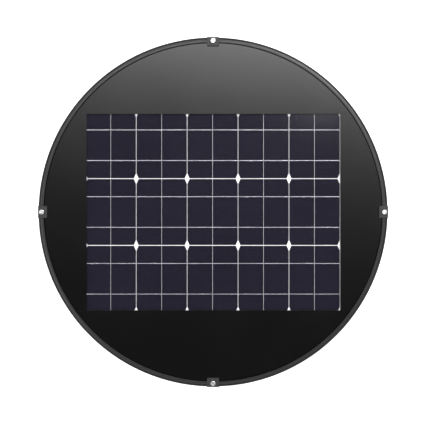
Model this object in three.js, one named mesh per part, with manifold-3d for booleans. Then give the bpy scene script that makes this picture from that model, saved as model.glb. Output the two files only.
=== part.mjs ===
// Round solar attic fan. A black lid with an inset solar laminate covers a rain hood, and four
// straps hold the hood over a roof flashing. The flashing's throat holds a five-blade fan on a
// brushless motor. Millimetres, +Z up; the origin is the centre of the flange's underside.

import * as THREE from "three";
import { mergeVertices } from "three/addons/utils/BufferGeometryUtils.js";
import Module from "manifold-3d";

const wasm = await Module();
wasm.setup();

// ---- Driving dimensions ----

const GAP = 0.3; // clearance between pieces that touch
const SHEET = 1.5; // sheet metal of the flashing and the hood
const QUARTER = Math.PI / 2;
const EIGHTH = Math.PI / 4;

// Facets round a circle, by its size.
const LARGE = 40;
const MEDIUM = 24;
const SMALL = 10;

// Roof flashing
const FLANGE_R = 315;
const FLANGE_HOLE_R = 307; // circle of the roofing screws
const ROOF_SCREW_R = 3.25;
const BEAD_R = 291; // stiffening bead pressed into the flange
const BEAD_HALF = 5;
const BEAD_HIGH = 3;
const COLLAR_BEND = 5;
const COLLAR_TOP = 12;
const THROAT_R = 187;
const THROAT_TOP = 114;
const LIP_R = 198;

// Fan shroud inside the throat
const SHROUD_R = 183.2;
const SHROUD_LOW = 20;
const SHROUD_TOP = 98;

// Bolts that tie strap, throat, shroud and motor bracket together
const BOLT_Z = 84;
const BOLT_R = 3;
const HEX_R = 5.77; // 10 mm across flats

// Hood and lid
const DECK = 176; // underside of the hood's deck
const HOOD_R = 328.5;
const SKIRT_LOW = 140;
const SKIRT_FLANGE_R = 307;
const SKIRT_R = 316;
const HEM_R = 325;
const LID_TOP = 186.5;
const LID_THICK = 3;
const LID_R = 320.1;
const RIM_TOP = 189.5;
const RIM_INNER_R = 318;
const CLIP_R = HOOD_R; // the clips lie flush with the hood's edge
const CLIP_INNER_R = 311.5;
const CLIP_WIDE = 23;
const CLIP_THICK = 1.2; // of the leg outside the rim
const CLIP_SCREW_R = 321.6;
const SCREW_R = 2.5; // M5
const SCREW_HOLE_R = 2.8;

// Solar laminate: three strings of ten cut cells
const CELL_PITCH = 47.9;
const ROW_PITCH = 125.6;
const CELL_GAP = 1.5;
const CELL_SHIFT = -0.9; // the strings lie a little to one side of the window
const CELLS = 10;
const ROWS = 3;
const BUS_SPACING = 57.6;
const BUS_WIDE = 1.5;
const WINDOW = [476.6, 368.8];
const WINDOW_AT = [0.7, -0.4]; // its centre
const POCKET = [494, 386];
const SHEET_SIZE = [493, 385];

// Straps between throat and hood
const STRAP_WIDE = 24;
const STRAP_THICK = 3;
const STRAP_FOOT_R = 250;

// Motor bracket
const PLATE_Z = 100;
const PLATE_THICK = 2.5;
const PLATE_R = 52;
const ARM_WIDE = 24;
const ARM_R = 182;
const TAB_LOW = 70;
const MOUNT_R = 33; // circle of the motor screws
const MOTOR_SCREWS = 3;

// Motor
const CAN_R = 43;
const CAN_LOW = 105.8;
const CAN_TOP = 147;
const CAN_WALL = 2.5;
const BEARING_R = 11;
const SHAFT_R = 4;
const TEETH = 9;
const STATOR_LOW = 114;
const STATOR_HIGH = 24;

// Fan
const BLADES = 5;
const TIP_R = 177.8; // a 14 inch fan
const ROOT_R = 42;
const FAN_Z = 44;
const PITCH_ROOT = THREE.MathUtils.degToRad(30);
const PITCH_TIP = THREE.MathUtils.degToRad(21);
const SPIDER_THICK = 2.5;
const BLADE_THICK = 1.5;

// Junction box under the laminate, and the controller on a bracket arm
const JUNCTION = { y: 95, long: 104, wide: 68, low: 163.3, top: 181.5, wall: 2.5, exit: 169.5 };
const CONTROL = { inner: 86, long: 60, wide: 40, low: 102.8, top: 122, wall: 2, exit: 113 };
const LEAD_R = 2.5;
const GLAND_R = 5.5;
const GLAND_LONG = 14;

// ---- Outlines and solids ----

const vec = (x, y) => new THREE.Vector2(x, y);

// A polyline of [x, y] or [x, y, bend radius] points, with an arc at each bend.
function bent(points, steps = 2) {
  return points.flatMap(([x, y, radius], i) => {
    const corner = vec(x, y);
    if (!radius) return [corner];
    const back = vec(...points[i - 1]).sub(corner).normalize();
    const on = vec(...points[i + 1]).sub(corner).normalize();
    const half = Math.acos(back.dot(on)) / 2;
    const middle = back.clone().add(on).normalize().multiplyScalar(radius / Math.sin(half));
    const centre = corner.clone().add(middle);
    const reach = radius / Math.tan(half);
    const start = corner.clone().addScaledVector(back, reach).sub(centre);
    const end = corner.clone().addScaledVector(on, reach).sub(centre);
    const turn = Math.sign(start.cross(end)) * (Math.PI - 2 * half);
    return Array.from({ length: steps + 1 }, (_, k) =>
      start.clone().rotateAround(vec(0, 0), (turn * k) / steps).add(centre),
    );
  });
}

// The closed outline of a bent sheet: its centre line, offset by half its thickness to each side.
function sheetOutline(line, thickness) {
  const normals = line.slice(1).map((p, i) => {
    const along = p.clone().sub(line[i]).normalize();
    return vec(-along.y, along.x);
  });
  const side = (offset) =>
    line.map((p, i) => {
      const before = normals[Math.max(i - 1, 0)];
      const after = normals[Math.min(i, normals.length - 1)];
      const mitre = before.clone().add(after).normalize();
      return p.clone().addScaledVector(mitre, offset / mitre.dot(before));
    });
  return [...side(thickness / 2), ...side(-thickness / 2).reverse()];
}

// A profile of (radius, height) points turned round the Z axis.
function turned(profile, facets = LARGE) {
  const points = profile.map((p) => (p.isVector2 ? p : vec(...p)));
  const solidCore = points[0].x === 0 && points.at(-1).x === 0;
  if (THREE.ShapeUtils.area(points) < 0) points.reverse();
  if (!solidCore) points.push(points[0].clone());
  return new THREE.LatheGeometry(points, facets).rotateX(QUARTER);
}

const ring = (inner, outer, low, top, facets = LARGE) =>
  turned([[inner, low], [outer, low], [outer, top], [inner, top]], facets);

const disc = (radius, low, top, facets = LARGE) =>
  new THREE.CylinderGeometry(radius, radius, top - low, facets)
    .rotateX(QUARTER)
    .translate(0, 0, (low + top) / 2);

// A cylinder along X, from x = start to x = end.
const rod = (radius, start, end, facets = SMALL) =>
  new THREE.CylinderGeometry(radius, radius, end - start, facets)
    .rotateZ(QUARTER)
    .translate((start + end) / 2, 0, 0);

// A box between two opposite corners.
function block([x0, y0, z0], [x1, y1, z1]) {
  const box = new THREE.BoxGeometry(x1 - x0, y1 - y0, z1 - z0);
  return box.translate((x0 + x1) / 2, (y0 + y1) / 2, (z0 + z1) / 2);
}

const centredBlock = ([long, wide], low, top) =>
  block([-long / 2, -wide / 2, low], [long / 2, wide / 2, top]);

// A side outline in (radius, height), made `wide` across, centred on the XZ plane.
function strip(outline, wide) {
  const shape = new THREE.Shape(outline.map((p) => (p.isVector2 ? p : vec(...p))));
  const bar = new THREE.ExtrudeGeometry(shape, { depth: wide, bevelEnabled: false });
  return bar.rotateX(QUARTER).translate(0, wide / 2, 0);
}

function solid(geometry) {
  const bare = geometry.clone();
  bare.deleteAttribute("normal");
  bare.deleteAttribute("uv");
  const merged = mergeVertices(bare, 1e-4);
  const vertProperties = merged.attributes.position.array;
  const triVerts = new Uint32Array(merged.index.array);
  return new wasm.Manifold(new wasm.Mesh({ numProp: 3, vertProperties, triVerts }));
}

function geometryOf(made) {
  const { vertProperties, triVerts } = made.getMesh();
  const geometry = new THREE.BufferGeometry();
  geometry.setAttribute("position", new THREE.BufferAttribute(vertProperties, 3));
  geometry.setIndex(new THREE.BufferAttribute(triVerts, 1));
  const flat = geometry.toNonIndexed();
  flat.computeVertexNormals();
  return flat;
}

const join = (...pieces) => geometryOf(pieces.map(solid).reduce((a, b) => a.add(b)));

const cut = (piece, ...tools) =>
  geometryOf(tools.map(solid).reduce((a, b) => a.subtract(b), solid(piece)));

// Copies of a tool, evenly spaced round the Z axis.
const around = (count, first, make) =>
  Array.from({ length: count }, (_, i) => make(i).rotateZ(first + (i * 2 * Math.PI) / count));

// ---- Materials ----

const finish = (color, roughness, metalness) =>
  new THREE.MeshStandardMaterial({ color, roughness, metalness });

const glossBlack = finish(0x141414, 0.15, 0);
const powderCoat = finish(0x1b1b1c, 0.55, 0.1);
const rimPlastic = finish(0x2e2e2e, 0.5, 0);
const clipPlastic = finish(0x3a3a3a, 0.5, 0);
const blackRubber = finish(0x101010, 0.9, 0);
const clearSheet = finish(0xffffff, 0.1, 0);
const solarCell = finish(0x272532, 0.35, 0);
const whiteSheet = finish(0xf4f4f6, 0.6, 0);
const stainless = finish(0xcfcfd2, 0.25, 1);
const zincSteel = finish(0xb4b6b8, 0.35, 1);
const aluminium = finish(0xbfc2c5, 0.35, 1);
const castAluminium = finish(0x9a9da0, 0.5, 1);
const siliconSteel = finish(0x6d6f72, 0.45, 1);
const copper = finish(0xb0622f, 0.35, 1);
const magnet = finish(0x3a3c3f, 0.4, 1);
const boxPlastic = finish(0x1f1f20, 0.5, 0);
const cable = finish(0x0d0d0d, 0.6, 0);

// ---- The parts of the base ----

const radialHoles = (radius) =>
  around(4, EIGHTH, () => rod(radius, ARM_R - 10, LIP_R).translate(0, 0, BOLT_Z));

function roofFlange() {
  const low = SHEET / 2;
  const collar = THROAT_R + SHEET + GAP + low;
  const crest = low + BEAD_HIGH;
  const line = bent([
    [FLANGE_R, low],
    [BEAD_R + BEAD_HALF + BEAD_HIGH, low],
    [BEAD_R + BEAD_HALF, crest],
    [BEAD_R - BEAD_HALF, crest],
    [BEAD_R - BEAD_HALF - BEAD_HIGH, low],
    [collar, low, COLLAR_BEND],
    [collar, COLLAR_TOP],
  ]);
  const roofHoles = around(8, EIGHTH / 2, () =>
    disc(ROOF_SCREW_R, -1, SHEET + 1, SMALL).translate(FLANGE_HOLE_R, 0, 0),
  );
  return cut(turned(sheetOutline(line, SHEET)), ...roofHoles);
}

function throatTube() {
  const wall = THROAT_R + SHEET / 2;
  const lip = THROAT_TOP - SHEET / 2;
  const line = bent([[wall, 0], [wall, lip, 4], [LIP_R, lip]]);
  return cut(turned(sheetOutline(line, SHEET)), ...radialHoles(BOLT_R + 0.4));
}

function fanShroud() {
  const outer = THROAT_R - GAP;
  const mouth = 6;
  const band = turned([
    [outer - 1, SHROUD_LOW],
    [outer, SHROUD_LOW],
    [outer, SHROUD_TOP],
    [SHROUD_R, SHROUD_TOP],
    [SHROUD_R, SHROUD_LOW + mouth],
  ]);
  return cut(band, ...radialHoles(BOLT_R + 0.4));
}

// The wire screen's outer form, standing on the throat's lip under the hood.
const exhaustScreen = () => ring(LIP_R - 2.6, LIP_R - 1.4, THROAT_TOP + GAP, DECK - GAP);

function hoodStrap() {
  const half = STRAP_THICK / 2;
  const low = THROAT_R + SHEET + GAP + half;
  const high = LIP_R + 3 + half;
  const foot = DECK - GAP - half;
  const line = bent([
    [low, BOLT_Z - 20],
    [low, BOLT_Z + 16, 6],
    [high, BOLT_Z + 27, 6],
    [high, foot, 5],
    [STRAP_FOOT_R, foot],
  ]);
  const bar = strip(sheetOutline(line, STRAP_THICK), STRAP_WIDE);
  const hole = rod(BOLT_R + 0.4, THROAT_R, LIP_R).translate(0, 0, BOLT_Z);
  return cut(bar, hole);
}

// A flanged hex bolt along X: head outside the strap, shank through to the bracket's tab.
function strapBolt() {
  const seat = THROAT_R + SHEET + STRAP_THICK + 2 * GAP;
  const bolt = join(
    rod(BOLT_R, ARM_R - PLATE_THICK - 7, seat + 1),
    rod(7, seat, seat + 1.4),
    rod(HEX_R, seat + 1, seat + 5.5, 6),
  );
  return bolt.translate(0, 0, BOLT_Z);
}

function motorBracket() {
  const top = PLATE_Z + PLATE_THICK;
  const half = ARM_WIDE / 2;
  const arms = around(4, EIGHTH, () => {
    const arm = block([PLATE_R - 12, -half, PLATE_Z], [ARM_R, half, top]);
    const tab = block([ARM_R - PLATE_THICK, -half, TAB_LOW], [ARM_R, half, top]);
    const rib = block([PLATE_R + 6, -3, PLATE_Z - 3], [ARM_R - 14, 3, PLATE_Z + 1]);
    const weldNut = rod(HEX_R, ARM_R - PLATE_THICK - 5, ARM_R - 1, 6).translate(0, 0, BOLT_Z);
    return join(arm, tab, rib, weldNut);
  });
  const plate = join(disc(PLATE_R, PLATE_Z, top, MEDIUM), ...arms);
  const bossHole = disc(15.5, PLATE_Z - 1, top + 1, MEDIUM);
  const grommetHoles = around(MOTOR_SCREWS, 0, () =>
    disc(5.4, PLATE_Z - 1, top + 1, SMALL).translate(MOUNT_R, 0, 0),
  );
  return cut(plate, bossHole, ...grommetHoles, ...radialHoles(BOLT_R + 0.4));
}

function motorGrommet() {
  const top = PLATE_Z + PLATE_THICK + GAP;
  const low = PLATE_Z - GAP;
  const flange = 2.7;
  const inner = SCREW_R + 0.4;
  const profile = [
    [inner, low - flange],
    [8.5, low - flange],
    [8.5, low],
    [5, low],
    [5, top],
    [8.5, top],
    [8.5, top + flange],
    [inner, top + flange],
  ];
  return turned(profile, SMALL).translate(MOUNT_R, 0, 0);
}

function motorScrew() {
  const seat = PLATE_Z - GAP - 2.7 - GAP;
  const profile = [
    [0, seat - 3.4],
    [3.6, seat - 3.4],
    [4.6, seat - 2.2],
    [4.6, seat],
    [SCREW_R, seat],
    [SCREW_R, CAN_LOW + 3.7],
    [0, CAN_LOW + 3.7],
  ];
  return turned(profile, SMALL).translate(MOUNT_R, 0, 0);
}

// ---- The motor ----

function motorCan() {
  const bossLow = CAN_LOW - 7.4;
  const pocket = BEARING_R + GAP;
  const floor = CAN_LOW + 4;
  const profile = [
    [pocket, bossLow],
    [14, bossLow],
    [14, CAN_LOW],
    [CAN_R, CAN_LOW],
    [CAN_R, CAN_TOP],
    [CAN_R - CAN_WALL, CAN_TOP],
    [CAN_R - CAN_WALL, floor],
    [6, floor],
    [6, CAN_LOW + 0.2],
    [pocket, CAN_LOW + 0.2],
  ];
  const holes = around(MOTOR_SCREWS, 0, () =>
    disc(SCREW_HOLE_R, CAN_LOW - 1, floor + 1, SMALL).translate(MOUNT_R, 0, 0),
  );
  return cut(turned(profile, MEDIUM), ...holes);
}

function motorCover() {
  const low = CAN_TOP + GAP;
  const pocket = BEARING_R + GAP;
  const profile = [
    [0, low + 8.5],
    [pocket, low + 8.5],
    [pocket, low],
    [CAN_R, low],
    [CAN_R, low + 3],
    [15, low + 4.5],
    [15, low + 10.2],
    [0, low + 10.2],
  ];
  return turned(profile, MEDIUM);
}

// A laminated ring with teeth that point at the rotor and flare at their tips.
function statorCore() {
  const outer = CAN_R - CAN_WALL - 0.5;
  const yoke = 34;
  const neck = 25;
  const tip = 22.6;
  const neckHalf = 3;
  const tipHalf = THREE.MathUtils.degToRad(15);
  const step = (2 * Math.PI) / TEETH;
  const polar = (radius, angle) => vec(radius * Math.cos(angle), radius * Math.sin(angle));
  const slots = Array.from({ length: TEETH }, (_, i) => {
    const at = i * step;
    return [
      polar(neck, at - neckHalf / neck),
      polar(neck, at - tipHalf),
      polar(tip, at - tipHalf),
      polar(tip, at),
      polar(tip, at + tipHalf),
      polar(neck, at + tipHalf),
      polar(neck, at + neckHalf / neck),
      polar(yoke, at + neckHalf / yoke),
      polar(yoke, at + step / 2),
      polar(yoke, at + step - neckHalf / yoke),
    ];
  }).flat();
  const shape = new THREE.Shape(
    Array.from({ length: 36 }, (_, i) => polar(outer, (i * Math.PI) / 18)),
  );
  shape.holes.push(new THREE.Path(slots));
  const core = new THREE.ExtrudeGeometry(shape, { depth: STATOR_HIGH, bevelEnabled: false });
  return core.translate(0, 0, STATOR_LOW);
}

function statorWinding() {
  const crown = 3.7; // how far the coils stand past the laminations
  const top = STATOR_LOW + STATOR_HIGH;
  const coils = ring(25.5, 33.5, STATOR_LOW - crown, top + crown, 36);
  const teeth = around(TEETH, 0, () =>
    block([24, -3.4, STATOR_LOW - GAP], [35, 3.4, top + GAP]),
  );
  return cut(coils, ...teeth);
}

const rotorMagnet = () => ring(SHAFT_R + GAP, 21.7, STATOR_LOW - 2, STATOR_LOW + STATOR_HIGH + 2, 24);
const motorShaft = () => disc(SHAFT_R, 29.5, CAN_TOP + 8, 16);
const bearing = (low) => ring(SHAFT_R + GAP, BEARING_R, low, low + 7, 20);

// ---- The fan ----

function fanHub() {
  const plate = FAN_Z - SPIDER_THICK / 2 - GAP;
  const profile = [
    [SHAFT_R + GAP, plate - 12],
    [14, plate - 12],
    [14, plate - 4],
    [24, plate - 4],
    [24, plate],
    [10, plate],
    [10, plate + 8],
    [SHAFT_R + GAP, plate + 8],
  ];
  const tapped = rod(SCREW_HOLE_R, 3, 16).translate(0, 0, plate - 8);
  return cut(turned(profile, 20), tapped);
}

const hubSetScrew = () =>
  rod(SCREW_R, SHAFT_R + 0.4, 14.5).translate(0, 0, FAN_Z - SPIDER_THICK / 2 - GAP - 8);

function fanSpider() {
  const half = SPIDER_THICK / 2;
  const arms = around(BLADES, 0, () => block([25, -10, -half], [66, 10, half]).rotateX(-PITCH_ROOT));
  const star = join(disc(30, -half, half, MEDIUM), ...arms);
  return cut(star, disc(10.3, -10, 10, 20)).translate(0, 0, FAN_Z);
}

// One blade along +X: a cambered sheet that lies on its spider arm. The fan turns from +X
// towards +Y, and the leading edge is the low one, so that it lifts the air.
function fanBlade() {
  const stations = 5;
  const chords = 4;
  const seat = SPIDER_THICK / 2 + GAP + BLADE_THICK / 2;
  const point = (i, j, side) => {
    const t = i / stations;
    const s = (2 * j) / chords - 1;
    const radius = ROOT_R + (TIP_R - ROOT_R) * t;
    const corner = 1 - 0.16 * Math.max(0, Math.abs(s) - 0.6) * (t > 0.9 ? 1 : 0);
    const chord = 46 + 58 * Math.sin((t * Math.PI) / 2);
    const pitch = PITCH_ROOT + (PITCH_TIP - PITCH_ROOT) * Math.max(0, (t - 0.2) / 0.8);
    const along = (s * chord) / 2;
    const lift = seat + 0.055 * chord * s * s * Math.min(1, 0.3 + t) + (side * BLADE_THICK) / 2;
    const across = along * Math.cos(pitch) + lift * Math.sin(pitch);
    const z = -along * Math.sin(pitch) + lift * Math.cos(pitch);
    const angle = across / radius;
    return [radius * corner * Math.cos(angle), radius * corner * Math.sin(angle), FAN_Z + z];
  };
  const index = (i, j, side) => (side * (stations + 1) + i) * (chords + 1) + j;
  const positions = [0, 1].flatMap((side) =>
    Array.from({ length: stations + 1 }, (_, i) =>
      Array.from({ length: chords + 1 }, (__, j) => point(i, j, 2 * side - 1)),
    ).flat(),
  );
  const faces = [];
  const quad = (a, b, c, d) => faces.push(a, b, c, a, c, d);
  for (let i = 0; i < stations; i++) {
    for (let j = 0; j < chords; j++) {
      quad(index(i, j, 1), index(i + 1, j, 1), index(i + 1, j + 1, 1), index(i, j + 1, 1));
      quad(index(i, j, 0), index(i, j + 1, 0), index(i + 1, j + 1, 0), index(i + 1, j, 0));
    }
    quad(index(i, 0, 0), index(i + 1, 0, 0), index(i + 1, 0, 1), index(i, 0, 1));
    quad(index(i, chords, 1), index(i + 1, chords, 1), index(i + 1, chords, 0), index(i, chords, 0));
  }
  for (let j = 0; j < chords; j++) {
    quad(index(0, j, 1), index(0, j + 1, 1), index(0, j + 1, 0), index(0, j, 0));
    quad(
      index(stations, j, 0),
      index(stations, j + 1, 0),
      index(stations, j + 1, 1),
      index(stations, j, 1),
    );
  }
  const geometry = new THREE.BufferGeometry();
  geometry.setAttribute("position", new THREE.Float32BufferAttribute(positions.flat(), 3));
  geometry.setIndex(faces);
  const flat = geometry.toNonIndexed();
  flat.computeVertexNormals();
  return flat;
}

// ---- The hood and the lid ----

const rimHoles = (low, top) =>
  around(4, 0, () => disc(SCREW_HOLE_R, low, top, SMALL).translate(CLIP_SCREW_R, 0, 0));

function hoodDeck() {
  const top = DECK + SHEET;
  const opening = centredBlock([110, 74], DECK - 1, top + 1).translate(0, JUNCTION.y, 0);
  return cut(disc(HOOD_R, DECK, top), opening, ...rimHoles(DECK - 1, top + 1));
}

function hoodSkirt() {
  const under = DECK - GAP - SHEET / 2;
  const hem = SKIRT_LOW + SHEET / 2;
  const line = bent([
    [SKIRT_FLANGE_R, under],
    [SKIRT_R, under, 3],
    [SKIRT_R + 4.3, hem, 2],
    [HEM_R, hem],
  ]);
  return turned(sheetOutline(line, SHEET));
}

function lidGasket() {
  const low = DECK + SHEET + GAP;
  const top = LID_TOP - LID_THICK - GAP;
  return cut(ring(314, 320, low, top), ...rimHoles(low - 1, top + 1));
}

function lidDisc() {
  const low = LID_TOP - LID_THICK;
  const lip = 1;
  return cut(
    disc(LID_R, low, LID_TOP),
    centredBlock(WINDOW, low - 1, LID_TOP + 1).translate(...WINDOW_AT, 0),
    centredBlock(POCKET, low - 1, LID_TOP - lip),
    ...rimHoles(low - 1, LID_TOP + 1),
  );
}

// The rim, notched where a clip's leg passes.
function rimRing() {
  const low = DECK + SHEET + GAP;
  const inner = LID_R + GAP;
  const profile = [
    [inner, low],
    [HOOD_R, low],
    [HOOD_R, RIM_TOP - 7.5],
    [HOOD_R - 2.6, RIM_TOP],
    [RIM_INNER_R, RIM_TOP],
    [RIM_INNER_R, LID_TOP + GAP],
    [inner, LID_TOP + GAP],
  ];
  const half = CLIP_WIDE / 2 + GAP;
  const notches = around(4, 0, () =>
    block([CLIP_R - CLIP_THICK - GAP, -half, low - 1], [HOOD_R + 1, half, RIM_TOP + 1]),
  );
  return cut(turned(profile), ...notches, ...rimHoles(low - 1, RIM_TOP + 1));
}

// A clip that reaches over the rim, from the lid's face to the hood's edge.
function rimClip() {
  const under = RIM_TOP + GAP;
  const top = under + 1.8;
  const leg = CLIP_R - CLIP_THICK;
  const outline = [
    [CLIP_INNER_R, LID_TOP + GAP],
    [CLIP_INNER_R + 4.2, LID_TOP + GAP],
    [CLIP_INNER_R + 5, under],
    [leg, under],
    [leg, DECK + SHEET + 2 * GAP],
    [CLIP_R, DECK + SHEET + 2 * GAP],
    [CLIP_R, top - 0.6],
    [CLIP_R - 0.6, top],
    [CLIP_INNER_R + 0.6, top],
    [CLIP_INNER_R, top - 0.6],
  ];
  const hole = disc(SCREW_HOLE_R, LID_TOP, top + 1, SMALL).translate(CLIP_SCREW_R, 0, 0);
  return cut(strip(outline, CLIP_WIDE), hole);
}

function clipScrew() {
  const seat = RIM_TOP + 2 * GAP + 1.8;
  const profile = [
    [0, DECK - 10],
    [SCREW_R, DECK - 10],
    [SCREW_R, seat],
    [4.75, seat],
    [4.75, seat + 0.6],
    [2.4, seat + 2.7],
    [0, seat + 2.7],
  ];
  return turned(profile, SMALL).translate(CLIP_SCREW_R, 0, 0);
}

const frontSheet = () => centredBlock(SHEET_SIZE, 183.9, 185.2);
const backSheet = () => centredBlock(SHEET_SIZE, 181.8, 182.8);

// Ten cut cells in a row, soldered together by two ribbons.
function cellString(row) {
  const low = 183.1;
  const y = ((ROWS - 1) / 2 - row) * ROW_PITCH;
  const wide = (CELL_PITCH - CELL_GAP) / 2;
  const high = (ROW_PITCH - 2.4) / 2;
  const reach = (CELL_PITCH * CELLS - CELL_GAP) / 2;
  const cells = Array.from({ length: CELLS }, (_, i) => {
    const x = (i - (CELLS - 1) / 2) * CELL_PITCH;
    return block([x - wide, -high, low], [x + wide, high, low + 0.3]);
  });
  const ribbons = [-1, 1].map((side) => {
    const at = (side * BUS_SPACING) / 2;
    const half = BUS_WIDE / 2;
    return block([-reach, at - half, low + 0.2], [reach, at + half, low + 0.5]);
  });
  return join(...cells, ...ribbons).translate(CELL_SHIFT, y, 0);
}

// ---- The electrics ----

function junctionBox() {
  const { y, long, wide, low, top, wall, exit } = JUNCTION;
  const shell = centredBlock([long, wide], low, top);
  const gland = rod(GLAND_R, long / 2 - 1, long / 2 + GLAND_LONG).translate(0, 0, exit);
  const inside = centredBlock([long - 2 * wall, wide - 2 * wall], low - 1, top - wall);
  return cut(join(shell, gland), inside).translate(0, y, 0);
}

function junctionBoxLid() {
  const { y, long, wide, low } = JUNCTION;
  return centredBlock([long + 2, wide + 2], low - 3.3, low - GAP).translate(0, y, 0);
}

function controlBox() {
  const { inner, long, wide, low, top, wall, exit } = CONTROL;
  const shell = block([inner, -wide / 2, low], [inner + long, wide / 2, top]);
  const gland = rod(GLAND_R, inner + long - 1, inner + long + GLAND_LONG).translate(0, 0, exit);
  const inside = block(
    [inner + wall, wall - wide / 2, low + wall],
    [inner + long - wall, wide / 2 - wall, top + 1],
  );
  return cut(join(shell, gland), inside);
}

function controlBoxLid() {
  const { inner, long, wide, top } = CONTROL;
  return block([inner, -wide / 2, top + GAP], [inner + long, wide / 2, top + 3]);
}

function temperatureProbe() {
  const start = CONTROL.wide / 2 + GAP;
  const bullet = rod(2.5, start, start + 22, SMALL).rotateZ(QUARTER);
  return bullet.translate(CONTROL.inner + CONTROL.long / 2, 0, 110);
}

// A round lead along a smooth curve through the points.
function lead(points, steps) {
  const path = new THREE.CatmullRomCurve3(points.map((p) => new THREE.Vector3(...p)));
  const section = new THREE.Shape(
    Array.from({ length: 8 }, (_, i) => vec(LEAD_R, 0).rotateAround(vec(0, 0), i * EIGHTH)),
  );
  return new THREE.ExtrudeGeometry(section, { steps, extrudePath: path });
}

// From the junction box, round under the hood, and down to the controller.
const panelLead = () =>
  lead(
    [
      [66.3, 95, 169.5],
      [80, 95, 169.5],
      [98, 95.5, 168.7],
      [117, 97, 167],
      [134, 99.5, 164.5],
      [146, 103, 159],
      [152, 108, 150],
      [151, 114, 139],
      [146, 120, 129],
      [139, 124, 121],
      [131, 125, 115.5],
      [122, 121, 113.2],
      [113.35, 113.35, 113],
    ],
    26,
  );

// From the controller to the motor, along the bracket arm.
const motorLead = () =>
  lead(
    [
      [CONTROL.inner - GAP, 0, 113],
      [76, 0, 113.3],
      [66, 0, 116],
      [55, 0, 119.2],
      [CAN_R + GAP, 0, 120],
    ],
    12,
  );

// ---- Assembly ----

const fan = new THREE.Group();

function add(name, geometry, material, turn = 0) {
  const mesh = new THREE.Mesh(geometry, material);
  mesh.name = name;
  mesh.rotation.z = turn;
  fan.add(mesh);
}

function addEach(count, first, name, make, material) {
  for (let i = 0; i < count; i++) {
    add(`${name}_${i + 1}`, make(i), material, first + (i * 2 * Math.PI) / count);
  }
}

add("roof_flange", roofFlange(), powderCoat);
add("throat_tube", throatTube(), powderCoat);
add("fan_shroud", fanShroud(), boxPlastic);
add("exhaust_screen", exhaustScreen(), stainless);
addEach(4, EIGHTH, "hood_strap", hoodStrap, powderCoat);
addEach(4, EIGHTH, "strap_bolt", strapBolt, stainless);

add("motor_bracket", motorBracket(), zincSteel);
addEach(MOTOR_SCREWS, 0, "motor_grommet", motorGrommet, blackRubber);
addEach(MOTOR_SCREWS, 0, "motor_screw", motorScrew, stainless);
add("motor_can", motorCan(), castAluminium);
add("motor_cover", motorCover(), castAluminium);
add("stator_core", statorCore(), siliconSteel);
add("stator_winding", statorWinding(), copper);
add("bearing_lower", bearing(CAN_LOW - 7.1), stainless);
add("bearing_upper", bearing(CAN_TOP + 1), stainless);
add("rotor_magnet", rotorMagnet(), magnet);
add("motor_shaft", motorShaft(), stainless);

add("fan_hub", fanHub(), castAluminium);
add("hub_set_screw", hubSetScrew(), zincSteel);
add("fan_spider", fanSpider(), zincSteel);
addEach(BLADES, 0, "fan_blade", fanBlade, aluminium);

add("hood_deck", hoodDeck(), powderCoat);
add("hood_skirt", hoodSkirt(), powderCoat);
add("lid_gasket", lidGasket(), blackRubber);
add("lid_disc", lidDisc(), glossBlack);
add("rim_ring", rimRing(), rimPlastic);
addEach(4, 0, "rim_clip", rimClip, clipPlastic);
addEach(4, 0, "clip_screw", clipScrew, stainless);
add("front_sheet", frontSheet(), clearSheet);
for (let row = 0; row < ROWS; row++) {
  add(`cell_string_${row + 1}`, cellString(row), solarCell);
}
add("back_sheet", backSheet(), whiteSheet);

add("junction_box", junctionBox(), boxPlastic);
add("junction_box_lid", junctionBoxLid(), boxPlastic);
add("control_box", controlBox(), boxPlastic, EIGHTH);
add("control_box_lid", controlBoxLid(), boxPlastic, EIGHTH);
add("temperature_probe", temperatureProbe(), stainless, EIGHTH);
add("panel_lead", panelLead(), cable);
add("motor_lead", motorLead(), cable, EIGHTH);

export default fan;
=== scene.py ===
import math

import bmesh
import bpy
from mathutils import Matrix, Vector


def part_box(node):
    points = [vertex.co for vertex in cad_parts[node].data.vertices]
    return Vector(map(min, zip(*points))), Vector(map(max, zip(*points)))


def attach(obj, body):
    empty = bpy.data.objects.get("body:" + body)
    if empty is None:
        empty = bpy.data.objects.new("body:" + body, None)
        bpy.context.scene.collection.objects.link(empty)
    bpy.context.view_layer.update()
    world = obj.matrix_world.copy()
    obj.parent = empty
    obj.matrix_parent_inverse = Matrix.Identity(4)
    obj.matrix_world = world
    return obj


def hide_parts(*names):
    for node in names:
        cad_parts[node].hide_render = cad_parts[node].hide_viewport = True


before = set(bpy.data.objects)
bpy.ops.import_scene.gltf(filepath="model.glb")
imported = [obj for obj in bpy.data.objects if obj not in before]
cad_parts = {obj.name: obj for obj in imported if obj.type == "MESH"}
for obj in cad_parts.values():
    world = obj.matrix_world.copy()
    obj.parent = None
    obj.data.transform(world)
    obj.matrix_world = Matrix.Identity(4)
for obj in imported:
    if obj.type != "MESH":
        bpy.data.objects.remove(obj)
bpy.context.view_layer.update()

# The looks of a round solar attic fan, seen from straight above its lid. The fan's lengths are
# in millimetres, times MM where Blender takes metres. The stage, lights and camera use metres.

MM = 0.001
FINE = 240      # segments round the lid, hood and flashing
ROUND = 96      # round the motor
SMALL = 32      # round screws and rivets
QUARTER = math.pi / 2
EIGHTH = math.pi / 4
scene = bpy.context.scene


# ---- Sizes, read from the frame ----

def low(node):
    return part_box(node)[0] / MM


def high(node):
    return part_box(node)[1] / MM


def z_span(node):
    return low(node).z, high(node).z


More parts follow.
